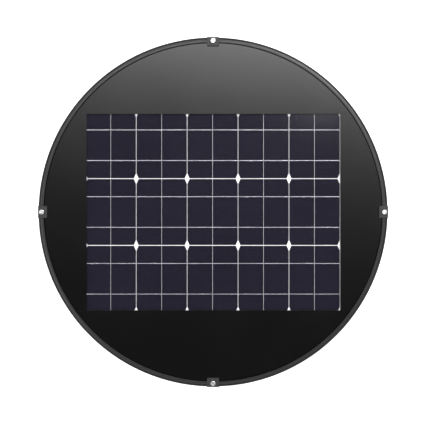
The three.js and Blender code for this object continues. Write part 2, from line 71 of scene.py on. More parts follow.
SHEET = 1.5             # the sheet metal's thickness
GAP = 0.3               # between pieces that touch
SHARP = 0.0001          # a bevel too small to see
M5_HOLE = 2.8           # radii of an M5 screw's hole and shank
M5_SHANK = 2.45
BOLT_Z = (low("strap_bolt_1").z + high("strap_bolt_1").z) / 2
BOLT_HOLE = 3.4         # radius of the strap bolts' holes
THROAT_R = 187
LIP_R = 198             # of the lip that rolls outwards round the throat's top
DECK = low("hood_deck").z
RIM_TOP = high("rim_ring").z
HOOD_R = high("hood_deck").x
LID_R = high("lid_disc").x
LID_TOP = high("lid_disc").z
LID_LOW = low("lid_disc").z
WINDOW = (476.6, 368.8)
WINDOW_AT = (0.7, -0.4)
RIM_FOOT = 318.1        # where the rim's inner side meets the lid
CLIP_SCREW_R = (low("clip_screw_1").x + high("clip_screw_1").x) / 2
CLIP_WIDE = high("rim_clip_1").y - low("rim_clip_1").y
CLIP_THICK = 1.2
BRACKET_THICK = 2.5
PLATE_Z = high("motor_bracket").z - BRACKET_THICK
THROAT_TOP = high("throat_tube").z
CAN_LOW = 105.8         # the motor can's flat underside
FAN_Z = 44              # middle of the fan's spider
MOUNT_R = 33            # circle of the motor's screws
ARM_R = 182             # outside of the bracket's bent arms
JUNCTION_Y = (low("junction_box").y + high("junction_box").y) / 2


# ---- Outlines: lists of (x, y) points ----

def rounded(points, steps, closed=True):
    """Points as (x, y) or (x, y, radius): each one with a radius becomes an arc."""
    made = []
    count = len(points)
    for i, point in enumerate(points):
        corner = Vector(point[:2])
        end_point = not closed and i in (0, count - 1)
        if len(point) < 3 or end_point:
            made.append(tuple(corner))
            continue
        back = (Vector(points[i - 1][:2]) - corner).normalized()
        on = (Vector(points[(i + 1) % count][:2]) - corner).normalized()
        half = back.angle(on) / 2
        centre = corner + (back + on).normalized() * point[2] / math.sin(half)
        reach = point[2] / math.tan(half)
        start = corner + back * reach - centre
        end = corner + on * reach - centre
        turn = math.pi - 2 * half
        side = 1 if start.x * end.y - start.y * end.x > 0 else -1
        for k in range(steps + 1):
            a = side * turn * k / steps
            x = start.x * math.cos(a) - start.y * math.sin(a)
            y = start.x * math.sin(a) + start.y * math.cos(a)
            made.append((centre.x + x, centre.y + y))
    return made


def sheet_outline(line, thickness):
    """A bent sheet's closed outline: its centre line, offset to both sides."""
    points = [Vector(p) for p in line]
    normals = []
    for a, b in zip(points, points[1:]):
        along = (b - a).normalized()
        normals.append(Vector((-along.y, along.x)))
    sides = ([], [])
    for i, point in enumerate(points):
        before = normals[max(i - 1, 0)]
        after = normals[min(i, len(normals) - 1)]
        mitre = (before + after).normalized()
        shift = mitre * (thickness / 2 / mitre.dot(before))
        sides[0].append(tuple(point + shift))
        sides[1].append(tuple(point - shift))
    return sides[0] + sides[1][::-1]


def polar(radius, angle):
    return radius * math.cos(angle), radius * math.sin(angle)


def spaced(count, first=0.0):
    return [first + 2 * math.pi * k / count for k in range(count)]


def circle(radius, segments=SMALL, centre=(0, 0)):
    ring = [polar(radius, angle) for angle in spaced(segments)]
    return [(centre[0] + x, centre[1] + y) for x, y in ring]


def rectangle(wide, tall, radius=0.0, centre=(0, 0)):
    x, y = wide / 2, tall / 2
    corners = [(-x, -y), (x, -y), (x, y), (-x, y)]
    moved = [(centre[0] + a, centre[1] + b) for a, b in corners]
    return rounded([(a, b, radius) for a, b in moved], 4) if radius else moved


# ---- Meshes ----

def add_object(name, data):
    made = bpy.data.objects.new(name, data)
    scene.collection.objects.link(made)
    return made


def weld(piece, distance=1e-6):
    """Joins points that meet, and turns every face outwards."""
    tidy = bmesh.new()
    tidy.from_mesh(piece.data)
    bmesh.ops.remove_doubles(tidy, verts=tidy.verts, dist=distance)
    bmesh.ops.recalc_face_normals(tidy, faces=tidy.faces)
    if tidy.calc_volume(signed=True) < 0:
        bmesh.ops.reverse_faces(tidy, faces=tidy.faces)
    tidy.to_mesh(piece.data)
    tidy.free()
    return piece


def to_mesh(name, points, faces):
    """One closed mesh from points in millimetres."""
    mesh = bpy.data.meshes.new(name)
    mesh.from_pydata([(x * MM, y * MM, z * MM) for x, y, z in points], [], faces)
    return weld(add_object(name, mesh), 1e-7)


def curve_to_mesh(name, curve, z=0.0):
    """The mesh of a curve, raised by z millimetres."""
    source = add_object(name, curve)
    bpy.context.view_layer.update()
    mesh = bpy.data.meshes.new_from_object(source)
    bpy.data.objects.remove(source)
    mesh.transform(Matrix.Translation((0, 0, z * MM)))
    return weld(add_object(name, mesh))


def lathe(name, profile, segments=FINE):
    """A closed profile of (radius, height) points turned round the Z axis."""
    points = []
    rings = []
    for r, z in profile:
        start = len(points)
        if r < 1e-6:
            points.append((0, 0, z))
            rings.append([start] * segments)
            continue
        points += [(*polar(r, angle), z) for angle in spaced(segments)]
        rings.append(list(range(start, start + segments)))
    faces = []
    for i, ring in enumerate(rings):
        following = rings[(i + 1) % len(rings)]
        for k in range(segments):
            n = (k + 1) % segments
            corners = list(dict.fromkeys([ring[k], ring[n], following[n], following[k]]))
            if len(corners) > 2:
                faces.append(corners)
    return to_mesh(name, points, faces)


def loft(name, slices, closed=False):
    """Joins equal rings of (x, y, z) points into one solid, capped unless it closes on itself."""
    count = len(slices[0])
    points = [p for ring in slices for p in ring]
    faces = []
    last = len(slices) if closed else len(slices) - 1
    for i in range(last):
        a, b = i * count, (i + 1) % len(slices) * count
        for k in range(count):
            n = (k + 1) % count
            faces.append([a + k, a + n, b + n, b + k])
    if not closed:
        faces.append(list(range(count)))
        faces.append([len(points) - count + k for k in range(count)])
    return to_mesh(name, points, faces)


def plate(name, outline, low_z, high_z, holes=(), bevel=0.3):
    """A flat plate with holes and bevelled edges, from closed outlines."""
    curve = bpy.data.curves.new(name, "CURVE")
    curve.dimensions = "2D"
    curve.fill_mode = "BOTH"
    curve.extrude = ((high_z - low_z) / 2 - bevel) * MM
    curve.bevel_depth = bevel * MM
    curve.bevel_resolution = 2
    curve.offset = -bevel * MM
    for ring in [outline, *holes]:
        spline = curve.splines.new("POLY")
        spline.points.add(len(ring) - 1)
        for point, (x, y) in zip(spline.points, ring):
            point.co = (x * MM, y * MM, 0, 1)
        spline.use_cyclic_u = True
    return curve_to_mesh(name, curve, (low_z + high_z) / 2)


def prism(outline, low_z, high_z):
    """A plain solid with sharp edges, for cutting and for wires."""
    return plate("prism", outline, low_z, high_z, (), SHARP)


def strip(name, outline, wide, bevel=0.3):
    """A side outline in (x, z), made `wide` across and centred on the XZ plane."""
    bar = plate(name, outline, -wide / 2, wide / 2, (), bevel)
    bar.data.transform(Matrix.Rotation(QUARTER, 4, "X"))
    return bar


def tube(name, route, radius):
    """A round lead along a smooth curve through points in millimetres."""
    curve = bpy.data.curves.new(name, "CURVE")
    curve.dimensions = "3D"
    curve.bevel_depth = radius * MM
    curve.bevel_resolution = 4
    curve.resolution_u = 10
    curve.use_fill_caps = True
    spline = curve.splines.new("BEZIER")
    spline.bezier_points.add(len(route) - 1)
    for point, spot in zip(spline.bezier_points, route):
        point.co = Vector(spot) * MM
        point.handle_left_type = point.handle_right_type = "AUTO"
    return curve_to_mesh(name, curve)


def move(piece, x=0.0, y=0.0, z=0.0):
    piece.data.transform(Matrix.Translation((x * MM, y * MM, z * MM)))
    return piece


def turn(piece, angle, axis="Z"):
    piece.data.transform(Matrix.Rotation(angle, 4, axis))
    return piece


def apply_modifiers(piece):
    bpy.context.view_layer.update()
    seen = piece.evaluated_get(bpy.context.evaluated_depsgraph_get())
    piece.data = bpy.data.meshes.new_from_object(seen)
    piece.modifiers.clear()
    return piece


def combine(piece, tools, operation):
    for tool in tools:
        step = piece.modifiers.new("boolean", "BOOLEAN")
        step.operation = operation
        step.solver = "EXACT"
        step.object = tool
        apply_modifiers(piece)
        bpy.data.objects.remove(tool)
    return piece


def cut(piece, *tools):
    return combine(piece, tools, "DIFFERENCE")


def join(piece, *tools):
    return combine(piece, tools, "UNION")


def merge(name, pieces):
    """Separate solids in one object, such as the wires of a screen."""
    gathered = bmesh.new()
    for piece in pieces:
        gathered.from_mesh(piece.data)
        bpy.data.objects.remove(piece)
    mesh = bpy.data.meshes.new(name)
    gathered.to_mesh(mesh)
    gathered.free()
    return add_object(name, mesh)


def copies(name, piece, angles):
    """The piece, copied round the Z axis into one object of separate solids."""
    ring = [turn(bpy.data.objects.new(name, piece.data.copy()), angle) for angle in angles]
    bpy.data.objects.remove(piece)
    return merge(name, ring)


def drill(radius, low_z, high_z, x=0.0, segments=SMALL):
    return prism(circle(radius, segments, (x, 0)), low_z, high_z)


def screw_drill(low_z, high_z, spot):
    """A cutter turned a little, so that its corners stay off the edges that it crosses."""
    return move(turn(drill(M5_HOLE, low_z, high_z), 0.05), *spot)


def soften(piece, width, angle=60):
    """Bevels the edges that turn by more than `angle` degrees."""
    step = piece.modifiers.new("bevel", "BEVEL")
    step.width = width * MM
    step.segments = 2
    step.limit_method = "ANGLE"
    step.angle_limit = math.radians(angle)
    return apply_modifiers(piece)


def show(piece, finish, node=None, body="housing", sharp=35):
    """Gives the piece its finish's material and its body, and hides the CAD node that it stands for."""
    material, slot = finish
    piece.name = piece.name.split(".")[0] + "_fine"
    piece.data.materials.clear()
    piece.data.materials.append(material)
    for face in piece.data.polygons:
        face.use_smooth = True
        face.material_index = 0
    piece.data.set_sharp_from_angle(angle=math.radians(sharp))
    shade = piece.modifiers.new("shading", "WEIGHTED_NORMAL")
    shade.keep_sharp = True
    shade.weight = 100
    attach(piece, body)
    if node:
        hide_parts(node)


def finish_node(node, finish):
    """A new material for a CAD node that keeps its shape."""
    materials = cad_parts[node].data.materials
    materials.clear()
    materials.append(finish[0])


# ---- Materials ----

def math_node(tree, operation, *inputs):
    """A Math node whose inputs are numbers or other nodes' outputs."""
    step = tree.nodes.new("ShaderNodeMath")
    step.operation = operation
    for socket, value in zip(step.inputs, inputs):
        if isinstance(value, (int, float)):
            socket.default_value = value
        else:
            tree.links.new(value, socket)
    return step.outputs[0]


def map_range(tree, value, source, target, interpolation="LINEAR"):
    """Maps the range `source` of a value to the range `target`."""
    step = tree.nodes.new("ShaderNodeMapRange")
    step.interpolation_type = interpolation
    for socket, number in zip(step.inputs[1:5], (*source, *target)):
        socket.default_value = number
    tree.links.new(value, step.inputs["Value"])
    return step.outputs["Result"]


def axes(tree, coordinates):
    """The X, Y and Z outputs of a kind of texture coordinates."""
    place = tree.nodes.new("ShaderNodeTexCoord")
    split = tree.nodes.new("ShaderNodeSeparateXYZ")
    tree.links.new(place.outputs[coordinates], split.inputs[0])
    return split.outputs


class Finish:
    """A Principled material and the few texture steps that these surfaces share."""

    def __init__(self, name, color, roughness, metallic=0.0, **sockets):
        self.material = bpy.data.materials.new(name)
        self.material.use_nodes = True
        self.tree = self.material.node_tree
        self.shader = self.tree.nodes["Principled BSDF"]
        self.set("Base Color", (*color, 1))
        self.set("Roughness", roughness)
        self.set("Metallic", metallic)
        for socket, value in sockets.items():
            self.set(socket.replace("_", " "), value)
        self.coordinates = self.node("ShaderNodeTexCoord").outputs["Object"]

    def set(self, socket, value):
        self.shader.inputs[socket].default_value = value

    def node(self, kind, **values):
        made = self.tree.nodes.new(kind)
        for key, value in values.items():
            if hasattr(made, key):
                setattr(made, key, value)
            else:
                made.inputs[key.replace("_", " ")].default_value = value
        return made

    def link(self, source, target):
        self.tree.links.new(source, target)

    def noise(self, scale, detail, stretch=(1, 1, 1)):
        """Noise with `scale` waves a metre, stretched along the axes."""
        mapping = self.node("ShaderNodeMapping")
        mapping.inputs["Scale"].default_value = stretch
        self.link(self.coordinates, mapping.inputs["Vector"])
        noise = self.node("ShaderNodeTexNoise", Scale=scale, Detail=detail)
        self.link(mapping.outputs["Vector"], noise.inputs["Vector"])
        return noise.outputs["Fac"]

    def spread(self, value, low_value, high_value):
        """Maps the middle of a noise's range to low_value..high_value."""
        return map_range(self.tree, value, (0.3, 0.7), (low_value, high_value))

    def mix(self, factor, first, second):
        """Mixes two colours, each of them a tuple or a node's output."""
        step = self.node("ShaderNodeMix", data_type="RGBA")
        self.link(factor, step.inputs[0])
        for socket, color in ((step.inputs[6], first), (step.inputs[7], second)):
            if isinstance(color, tuple):
                socket.default_value = (*color, 1)
            else:
                self.link(color, socket)
        return step.outputs[2]

    def tint(self, value, first, second):
        self.link(self.mix(self.spread(value, 0, 1), first, second), self.shader.inputs["Base Color"])
        return self

    def rough(self, value, low_value, high_value):
        self.link(self.spread(value, low_value, high_value), self.shader.inputs["Roughness"])
        return self

    def bump(self, value, depth, strength):
        """Raises the surface by up to `depth` millimetres."""
        step = self.node("ShaderNodeBump", Strength=strength, Distance=depth * MM)
        self.link(value, step.inputs["Height"])
        self.link(step.outputs["Normal"], self.shader.inputs["Normal"])
        return self


def gloss_lid():
    made = Finish("gloss_lid", (0.002, 0.002, 0.0021), 0.12)
    made.rough(made.noise(9, 4), 0.1, 0.14)
    return made.bump(made.noise(700, 2), 0.002, 0.15).material


def powder_coat():
    made = Finish("powder_coat", (0.011, 0.011, 0.012), 0.5)
    made.tint(made.noise(30, 5), (0.0105, 0.0105, 0.011), (0.0128, 0.0128, 0.0134))
    made.rough(made.noise(160, 3), 0.44, 0.52)
    return made.bump(made.noise(900, 2), 0.05, 0.5).material


def shaded(color, share):
    return tuple(share * c for c in color)


def moulded(name, color, roughness, **sockets):
    made = Finish(name, color, roughness, **sockets)
    made.tint(made.noise(40, 4), shaded(color, 0.92), shaded(color, 1.06))
    made.rough(made.noise(120, 3), roughness - 0.01, roughness + 0.03)
    return made.bump(made.noise(1400, 2), 0.02, 0.5).material


def rubber():
    made = Finish("rubber", (0.01, 0.01, 0.01), 0.75)
    made.tint(made.noise(80, 4), (0.007, 0.007, 0.007), (0.015, 0.015, 0.015))
    return made.bump(made.noise(800, 3), 0.05, 0.6).material


def steel(name, color, low_rough, high_rough, stretch=(1, 1, 1), scale=300):
    made = Finish(name, color, low_rough, 1.0)
    made.tint(made.noise(scale, 4, stretch), shaded(color, 0.86), color)
    made.rough(made.noise(scale * 2, 3, stretch), low_rough, high_rough)
    return made.bump(made.noise(scale * 3, 2, stretch), 0.01, 0.25).material


def cast_metal():
    made = Finish("cast_aluminium", (0.33, 0.34, 0.35), 0.5, 1.0)
    made.tint(made.noise(70, 4), (0.26, 0.27, 0.28), (0.38, 0.39, 0.4))
    made.rough(made.noise(200, 4), 0.42, 0.62)
    return made.bump(made.noise(650, 4), 0.15, 0.5).material


def solar_cell():
    """Coated silicon, with thin silver fingers 2 mm apart that run along the X axis."""
    fingers_a_metre = 500
    finger_share = 0.12
    made = Finish("solar_cell", (0.0105, 0.0092, 0.0178), 0.45, Specular_IOR_Level=0.02)
    patches = made.spread(made.noise(5, 3), 0, 1)
    blue = made.mix(patches, (0.0092, 0.0080, 0.0158), (0.0118, 0.0105, 0.0196))
    count = math_node(made.tree, "MULTIPLY", axes(made.tree, "Object")["Y"], fingers_a_metre)
    saw = math_node(made.tree, "FRACT", count)
    finger = math_node(made.tree, "LESS_THAN", saw, finger_share)
    color = made.mix(finger, blue, (0.026, 0.025, 0.036))
    made.link(color, made.shader.inputs["Base Color"])
    return made.material


def clear_sheet():
    made = Finish("clear_sheet", (0.004, 0.004, 0.004), 0.15, Alpha=0.028)
    return made.bump(made.noise(500, 2), 0.02, 0.3).material


def white_sheet():
    made = Finish("white_sheet", (0.93, 0.93, 0.95), 0.6)
    made.tint(made.noise(12, 3), (0.91, 0.91, 0.93), (0.95, 0.95, 0.97))
    return made.bump(made.noise(900, 2), 0.02, 0.3).material


# Each finish is a material and the slot of the record that it belongs to.
GLOSS = gloss_lid(), "gloss_black"
POWDER = powder_coat(), "powder_coat"
RIM = moulded("rim_plastic", (0.0145, 0.0145, 0.0145), 0.3, Specular_IOR_Level=0.36), "rim_plastic"
CLIP = moulded("clip_plastic", (0.019, 0.019, 0.019), 0.42, Specular_IOR_Level=0.32), "clip_plastic"
BOX = moulded("box_plastic", (0.013, 0.013, 0.014), 0.45), "box_plastic"
JACKET = moulded("cable_jacket", (0.006, 0.006, 0.006), 0.5), "cable"
MAGNET = moulded("coated_magnet", (0.03, 0.031, 0.034), 0.4), "magnet"
RUBBER = rubber(), "black_rubber"
STAINLESS = steel("stainless", (0.78, 0.78, 0.79), 0.22, 0.32), "stainless"
ZINC = steel("zinc_steel", (0.50, 0.52, 0.54), 0.28, 0.42, scale=120), "zinc_steel"
MILL = steel("mill_aluminium", (0.66, 0.67, 0.69), 0.26, 0.38, (1, 0.06, 1), 500), "blade_aluminium"
CAST = cast_metal(), "cast_aluminium"
LAMINATED = steel("laminated_steel", (0.16, 0.16, 0.17), 0.4, 0.55, (0.05, 0.05, 6), 400), "silicon_steel"
COPPER = steel("enamelled_copper", (0.52, 0.16, 0.05), 0.22, 0.4, (0.3, 0.3, 5), 700), "copper"
TINNED = steel("tinned_ribbon", (0.50, 0.49, 0.55), 0.35, 0.5, scale=400), "stainless"
CELL = solar_cell(), "solar_cell"
CLEAR = clear_sheet(), "clear_sheet"
WHITE = white_sheet(), "white_sheet"


# ---- The lid, its rim and its clips ----

def rim_drills(low_z, high_z):
    """Cutters for the four clip screws' holes."""
    return [screw_drill(low_z, high_z, polar(CLIP_SCREW_R, angle)) for angle in spaced(4)]


def lid_face():
    """The glossy face with the laminate's window in it, and a fine groove along the rim."""
    window = rectangle(*WINDOW, 0.5, WINDOW_AT)
    face = plate("lid_face", circle(LID_R - 0.1, FINE), LID_LOW, LID_TOP, [window], 0.15)
    start, end, deep = RIM_FOOT - 1, RIM_FOOT, 1.4
    cut(face, lathe("groove", [
        (start, LID_TOP + 0.5),
        (start, LID_TOP),
        ((start + end) / 2, LID_TOP - deep),
        (end, LID_TOP),
        (end, LID_TOP + 0.5),
    ]), *rim_drills(LID_LOW - 1, LID_TOP + 1))
    show(face, GLOSS, "lid_disc")


def rim():
    """The moulded rim: a flat top with a steep outer side, notched for each clip's leg."""
    bottom = low("rim_ring").z
    profile = rounded([
        (LID_R + GAP, bottom),
        (HOOD_R, bottom, 0.6),
        (HOOD_R, RIM_TOP - 7.5, 2.5),
        (HOOD_R - 3.9, RIM_TOP - 0.5, 0.6),
        (HOOD_R - 7.2, RIM_TOP, 5),
        (RIM_FOOT + 0.6, RIM_TOP, 0.3),
        (RIM_FOOT, LID_TOP + 1),
        (RIM_FOOT, LID_TOP + GAP),
        (LID_R + GAP, LID_TOP + GAP),
    ], 8)
    seat = (CLIP_WIDE / 2 + GAP) / HOOD_R
    edge = 0.2 / HOOD_R
    stops = []
    for middle in spaced(4):
        stops += [(middle - seat, 0), (middle - seat + edge, 1)]
        stops += [(middle + k * seat / 4, 1) for k in range(-3, 4)]
        stops += [(middle + seat - edge, 1), (middle + seat, 0)]
        span = QUARTER - 2 * seat
        stops += [(middle + seat + span * k / 56, 0) for k in range(1, 56)]
    slices = []
    for angle, lowered in stops:
        wall = HOOD_R - (CLIP_THICK + GAP) * lowered
        slices.append([(*polar(min(r, wall), angle), z) for r, z in profile])
    ring = cut(loft("rim", slices, closed=True), *rim_drills(bottom - 1, RIM_TOP + 1))
    show(ring, RIM, "rim_ring", sharp=50)


def clip(index, angle):
    """A clip over the rim, its two inner corners rounded in plan and its edges softened."""
    inner = 311.5
    outer = high("rim_clip_1").x
    leg = outer - CLIP_THICK
    top = high("rim_clip_1").z
    under = top - 1.8
    half = CLIP_WIDE / 2
    corner = 2.6
    edge = 0.5
    steps = 8
    turned = [math.sin(QUARTER * k / steps) for k in range(steps, -1, -1)]
    left = [-(half - corner) - corner * t for t in turned]
    across = left + [-y for y in reversed(left)]
    slices = []
    for y in across:
        off = max(0.0, abs(y) - (half - corner))
        pulled = corner - math.sqrt(max(0.0, corner**2 - off**2))
        shy = max(0.0, abs(y) - (half - edge))
        drop = edge - math.sqrt(max(0.0, edge**2 - shy**2))
        outline = rounded([
            (inner + pulled, LID_TOP + GAP, 0.25),
            (inner + 4.2, LID_TOP + GAP, 0.25),
            (inner + 5, under, 0.2),
            (leg, under, 0.3),
            (leg, DECK + SHEET + 2 * GAP, 0.2),
            (outer, DECK + SHEET + 2 * GAP, 0.3),
            (outer, top - drop, 0.9),
            (inner + pulled, top - drop, 0.9),
        ], 4)
        slices.append([(x, y, z) for x, z in outline])
    body = loft(f"clip_{index}", slices)
    cut(body, drill(M5_HOLE, LID_TOP, top + 1, CLIP_SCREW_R))
    turn(body, angle)
    show(body, CLIP, f"rim_clip_{index}", sharp=45)


def thread(name, radius, low_z, high_z, pitch=0.8, depth=0.45):
    """A screw shank whose surface rises and falls along a helix."""
    segments = 20
    steps = max(8, int((high_z - low_z) / pitch * 6))
    slices = []
    for i in range(steps + 1):
        z = low_z + (high_z - low_z) * i / steps
        ring = []
        for k, angle in enumerate(spaced(segments)):
            phase = (z / pitch - k / segments) % 1
            ring.append((*polar(radius - depth * abs(2 * phase - 1), angle), z))
        slices.append(ring)
    return loft(name, slices)


def hexagon(across_flats, radius=0.0):
    points = circle(across_flats / math.sqrt(3), 6)
    return rounded([(x, y, radius) for x, y in points], 3) if radius else points


def button_screw(index, angle):
    """An M5 button head screw with a hex socket."""
    bottom, top = z_span("clip_screw_1")
    seat = top - 2.7
    head = rounded([
        (0, seat),
        (4.75, seat, 0.2),
        (4.75, top - 0.7, 0.6),
        (3.9, top, 0.9),
        (0, top),
    ], 5)
    screw = lathe(f"button_screw_{index}", head, 48)
    cut(screw, prism(hexagon(2.5), top - 1.2, top + 2))
    join(screw, thread("shank", M5_SHANK, bottom, seat + 0.4))
    move(screw, CLIP_SCREW_R)
    turn(screw, angle)
    show(screw, STAINLESS, f"clip_screw_{index}", sharp=38)


def gasket():
    inner, outer = 314.2, 319.8
    bottom, top = z_span("lid_gasket")
    ring = lathe("gasket", rounded([
        (inner, bottom, 0.5),
        (outer, bottom, 0.5),
        (outer, top, 2.2),
        (inner, top, 2.2),
    ], 6))
    cut(ring, *rim_drills(bottom - 1, top + 1))
    show(ring, RUBBER, "lid_gasket")


# ---- The solar laminate ----

CELL_PITCH = 47.9
ROW_PITCH = 125.6
ROW_GAP = 1.4
CELL_GAPS = (0.6, 0.88)     # within a cut pair, and between pairs
CORNER = (4.0, 9.2)         # how wide and tall the cut off corners of each pair are
CELL_LOW = 183.1            # the cells' undersides
CELL_SHIFT = -0.9           # the cells lie a little left in the window
RIBBON_OFF = 28.8           # from the row's middle line


def cell(straight, cut_off, row_y):
    """Half a wafer, between the x of its straight edge and of its edge with cut off corners."""
    half = (ROW_PITCH - ROW_GAP) / 2
    wide, tall = CORNER
    shoulder = cut_off - math.copysign(wide, cut_off - straight)
    side = [(straight, half), (shoulder, half), (cut_off, half - tall)]
    outline = side + [(x, -y) for x, y in reversed(side)]
    moved = [(x + CELL_SHIFT, y + row_y) for x, y in outline]
    return plate("cell", moved, CELL_LOW, CELL_LOW + 0.2, (), 0.02)


def cell_string(row):
    row_y = (1 - row) * ROW_PITCH
    cells = []
    for pair in range(5):
        middle = (pair - 2) * 2 * CELL_PITCH
        near, far = CELL_GAPS[0] / 2, CELL_PITCH - CELL_GAPS[1] / 2
        cells.append(cell(middle - near, middle - far, row_y))
        cells.append(cell(middle + near, middle + far, row_y))
    wafers = merge(f"cells_{row + 1}", cells)
    show(wafers, CELL, f"cell_string_{row + 1}")
    ribbons = []
    for side in (-1, 1):
        bar = rectangle(10 * CELL_PITCH - 1.6, 1.1, 0, (CELL_SHIFT, row_y + side * RIBBON_OFF))
        ribbons.append(plate("ribbon", bar, CELL_LOW + 0.2, CELL_LOW + 0.45, (), 0.05))
    bars = merge(f"ribbons_{row + 1}", ribbons)
    show(bars, TINNED)


def laminate():
    for row in range(3):
        cell_string(row)
    finish_node("front_sheet", CLEAR)
    finish_node("back_sheet", WHITE)


# ---- The hood and its straps ----

def x_rod(radius, start, end, z):
    """A plain cutter along X, at height z."""
    return move(turn(drill(radius, start, end), QUARTER, "Y"), z=z)


def bolt_holes():
    return [turn(x_rod(BOLT_HOLE, 170, 205, BOLT_Z), angle) for angle in spaced(4, EIGHTH)]


def spot_welds(name, places, z):
    """Shallow round dimples of weld, under a sheet at height z."""
    radius = 3.2
    profile = rounded([(0, z - 0.35), (radius * 0.55, z - 0.3, 0.6), (radius, z, 0.1), (0, z)], 4)
    return merge(name, [move(lathe(name, profile, 20), x, y) for x, y in places])


def hood_deck():
    holes = [circle(M5_HOLE, 20, polar(CLIP_SCREW_R, angle)) for angle in spaced(4)]
    holes.insert(0, rectangle(110, 74, 3, (0, JUNCTION_Y)))
    deck = plate("hood_deck", circle(HOOD_R - 0.1, FINE), DECK, DECK + SHEET, holes)
    show(deck, POWDER, "hood_deck")


def hood_skirt():
    under = DECK - GAP - SHEET / 2
    hem = low("hood_skirt").z + SHEET / 2
    edge = high("hood_skirt").x
    line = rounded([
        (307, under),
        (316, under, 3),
        (320.3, hem, 2.4),
        (edge - 0.9, hem),
    ], 6, closed=False)
    skirt = lathe("hood_skirt", sheet_outline(line, SHEET))
    soften(skirt, 0.4)
    show(skirt, POWDER, "hood_skirt")
    welds = spot_welds("skirt_welds", [polar(311, a) for a in spaced(24, EIGHTH / 6)], under - 0.7)
    show(welds, POWDER)


def strap(index, angle):
    half = 1.5
    inner = THROAT_R + SHEET + GAP + half
    outer = LIP_R + 3 + half
    foot = DECK - GAP - half
    line = rounded([
        (inner, BOLT_Z - 20),
        (inner, BOLT_Z + 16, 6),
        (outer, BOLT_Z + 27, 6),
        (outer, foot, 5),
        (250, foot),
    ], 7, closed=False)
    bar = strip(f"hood_strap_{index}", sheet_outline(line, 2 * half), 24, 0.35)
    cut(bar, x_rod(BOLT_HOLE, THROAT_R, LIP_R, BOLT_Z))
    show(turn(bar, angle), POWDER, f"hood_strap_{index}")
    places = [(r, y) for r in (218, 240) for y in (-6, 6)]
    welds = spot_welds(f"strap_welds_{index}", places, foot - half)
    show(turn(welds, angle), POWDER)


def flange_bolt(index, angle):
    """A flanged M6 hex bolt, its head outside the strap."""
    seat = THROAT_R + SHEET + 3 + 2 * GAP
    head = lathe(f"strap_bolt_{index}", rounded([
        (0, seat),
        (7, seat, 0.2),
        (7, seat + 0.9, 0.3),
        (5.6, seat + 1.7, 0.4),
        (0, seat + 1.9),
    ], 4), 40)
    crown = plate("hex", hexagon(10, 0.3), seat + 0.5, seat + 5.5, (), 0.55)
    shank = thread("shank", 2.95, ARM_R - 9.5, seat + 0.4, 1.0, 0.5)
    join(head, crown, shank)
    turn(head, QUARTER, "Y")
    move(head, z=BOLT_Z)
    show(turn(head, angle), STAINLESS, f"strap_bolt_{index}", sharp=38)


# ---- The base ----

def roof_flange():
    mid = SHEET / 2
    collar = THROAT_R + SHEET + GAP + mid
    edge = high("roof_flange").x
    line = rounded([
        (edge - 0.1, mid),
        (299, mid, 3),
        (296, 3 + mid, 3),
        (286, 3 + mid, 3),
        (283, mid, 3),
        (collar, mid, 5),
        (collar, 12),
    ], 6, closed=False)
    flange = lathe("roof_flange", sheet_outline(line, SHEET))
    soften(flange, 0.35)
    cut(flange, *[move(drill(3.25, -2, 4), *polar(307, a)) for a in spaced(8, EIGHTH / 2)])
    show(flange, POWDER, "roof_flange", sharp=40)


def throat_tube():
    wall = THROAT_R + SHEET / 2
    lip = THROAT_TOP - SHEET / 2
    line = rounded([(wall, 0), (wall, lip, 4), (LIP_R - 0.1, lip)], 8, closed=False)
    throat = lathe("throat_tube", sheet_outline(line, SHEET))
    soften(throat, 0.35)
    cut(throat, *bolt_holes())
    show(throat, POWDER, "throat_tube", sharp=40)


def fan_shroud():
    """A moulded band with a flared mouth that brings the air in round the blade tips."""
    outer = THROAT_R - GAP
    bottom, top = z_span("fan_shroud")
    inner = 183.2
    band = lathe("fan_shroud", rounded([
        (outer - 0.9, bottom, 0.25),
        (outer, bottom, 0.25),
        (outer, top, 0.5),
        (inner, top, 1.2),
        (inner, bottom + 6, 9),
    ], 8))
    cut(band, *bolt_holes())
    show(band, BOX, "fan_shroud", sharp=40)


def exhaust_screen():
    """Square wire mesh, 6.4 mm a cell, between two folded hems."""
    bottom, top = z_span("exhaust_screen")
    wire = 0.34
    inner, outer = LIP_R - 2.6, LIP_R - 1.4
    middle = (inner + outer) / 2
    uprights = 192
    rows = 9
    solids = []
    for k in range(rows):
        z = bottom + (top - bottom) * (k + 1) / (rows + 1)
        solids.append(lathe("hoop", circle(wire, 6, (middle + wire * 0.8, z)), uprights))
    section = circle(wire, 6, (middle - wire * 0.8, 0))
    for angle in spaced(uprights):
        solids.append(turn(prism(section, bottom + 1, top - 1), angle))
    for z0, z1 in ((bottom, bottom + 6), (top - 6, top)):
        hem = [(inner, z0, 0.5), (outer, z0, 0.5), (outer, z1, 0.15), (inner, z1, 0.15)]
        solids.append(lathe("hem", rounded(hem, 4), uprights))
    show(merge("exhaust_screen", solids), STAINLESS, "exhaust_screen")


# ---- The motor and its bracket ----

